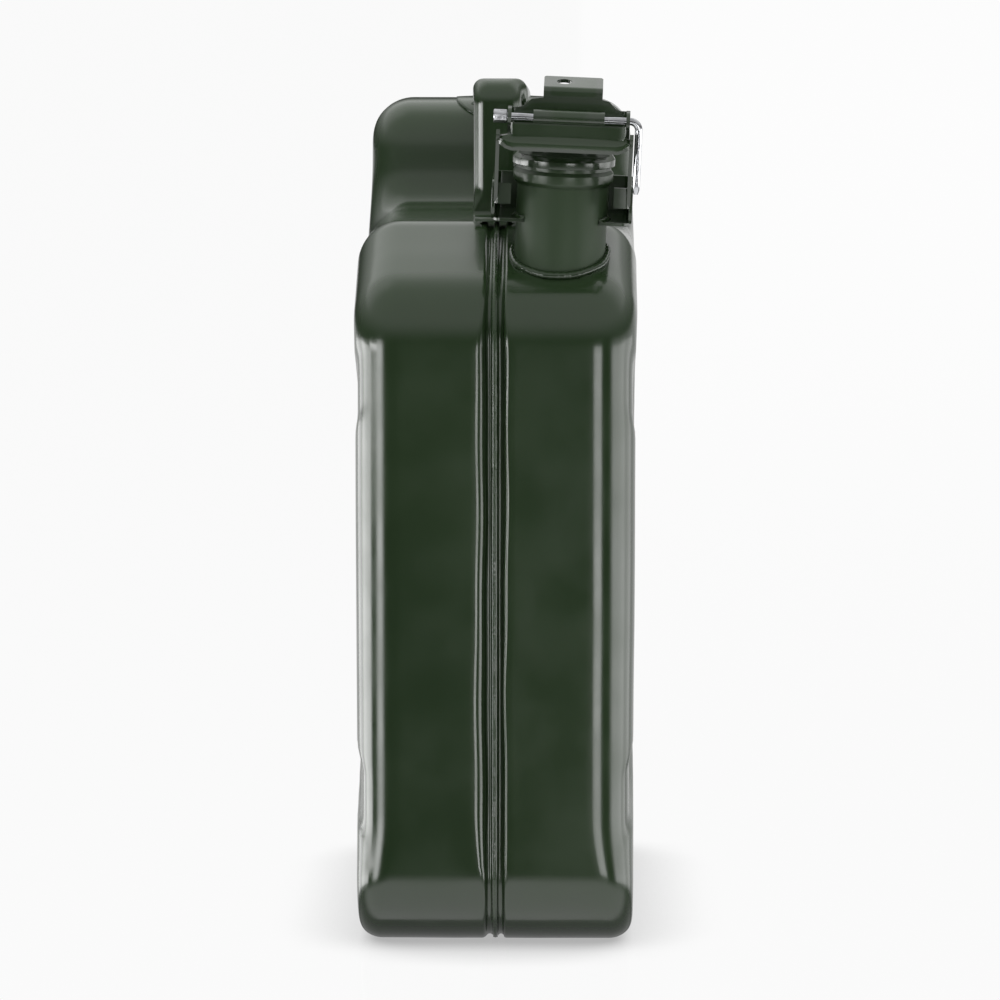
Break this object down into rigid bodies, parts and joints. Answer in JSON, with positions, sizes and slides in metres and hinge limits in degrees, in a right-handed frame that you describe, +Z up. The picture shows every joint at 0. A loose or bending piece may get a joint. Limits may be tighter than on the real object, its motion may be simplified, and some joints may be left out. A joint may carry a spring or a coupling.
{
  "type": "fuel can",
  "caption": "Steel fuel can made of pressed half shells, with a fixed handle and a hinged filler cap held shut by a clamp lever.",
  "frame": {"origin": "middle of the base on the floor, on the seam plane", "axes": "+Z up, -Y towards the filler end, +X towards the half shell that carries the neck"},
  "size_m": [0.1268, 0.2808, 0.385],
  "materials": {
    "green_paint": "glossy dark green enamel",
    "zinc_steel": "zinc plated",
    "bright_wire": "bright plated wire",
    "seal_rubber": "black rubber"
  },
  "bodies": {
    "can": {"shell_left": "green_paint", "shell_right": "green_paint", "seam_weld": "green_paint", "neck_tube": "green_paint", "neck_collar": "green_paint", "neck_weld": "green_paint", "breather_tube": "zinc_steel", "breather_clip": "zinc_steel", "handle": "green_paint", "handle_front_weld": "green_paint", "handle_rear_weld": "green_paint", "hinge_bracket": "green_paint", "bracket_weld": "green_paint", "lid_hinge_pin": "zinc_steel"},
    "lid": {"lid_carrier": "green_paint", "lid_disc": "green_paint", "lid_gasket": "seal_rubber", "gasket_plate": "zinc_steel", "lid_rivet": "zinc_steel", "spring_washer": "zinc_steel"},
    "clamp": {"clamp_lever": "green_paint"},
    "wire": {"catch_wire": "bright_wire", "catch_wire_head": "bright_wire"}
  },
  "joints": [
    {"name": "lid_hinge", "type": "hinge", "parent": "can", "child": "lid", "pos_m": [0.0302, -0.07599, 0.35169], "axis": [-0.999, 0, 0.0436], "range_deg": [0, 95]},
    {"name": "clamp_hinge", "type": "hinge", "parent": "lid", "child": "clamp", "pos_m": [0.03226, -0.13253, 0.36674], "axis": [-0.999, 0, 0.0436], "range_deg": [0, 85]},
    {"name": "wire_pivot", "type": "hinge", "parent": "lid", "child": "wire", "pos_m": [0.03226, -0.13253, 0.36674], "axis": [-0.999, 0, 0.0436], "range_deg": [0, 100]}
  ]
}
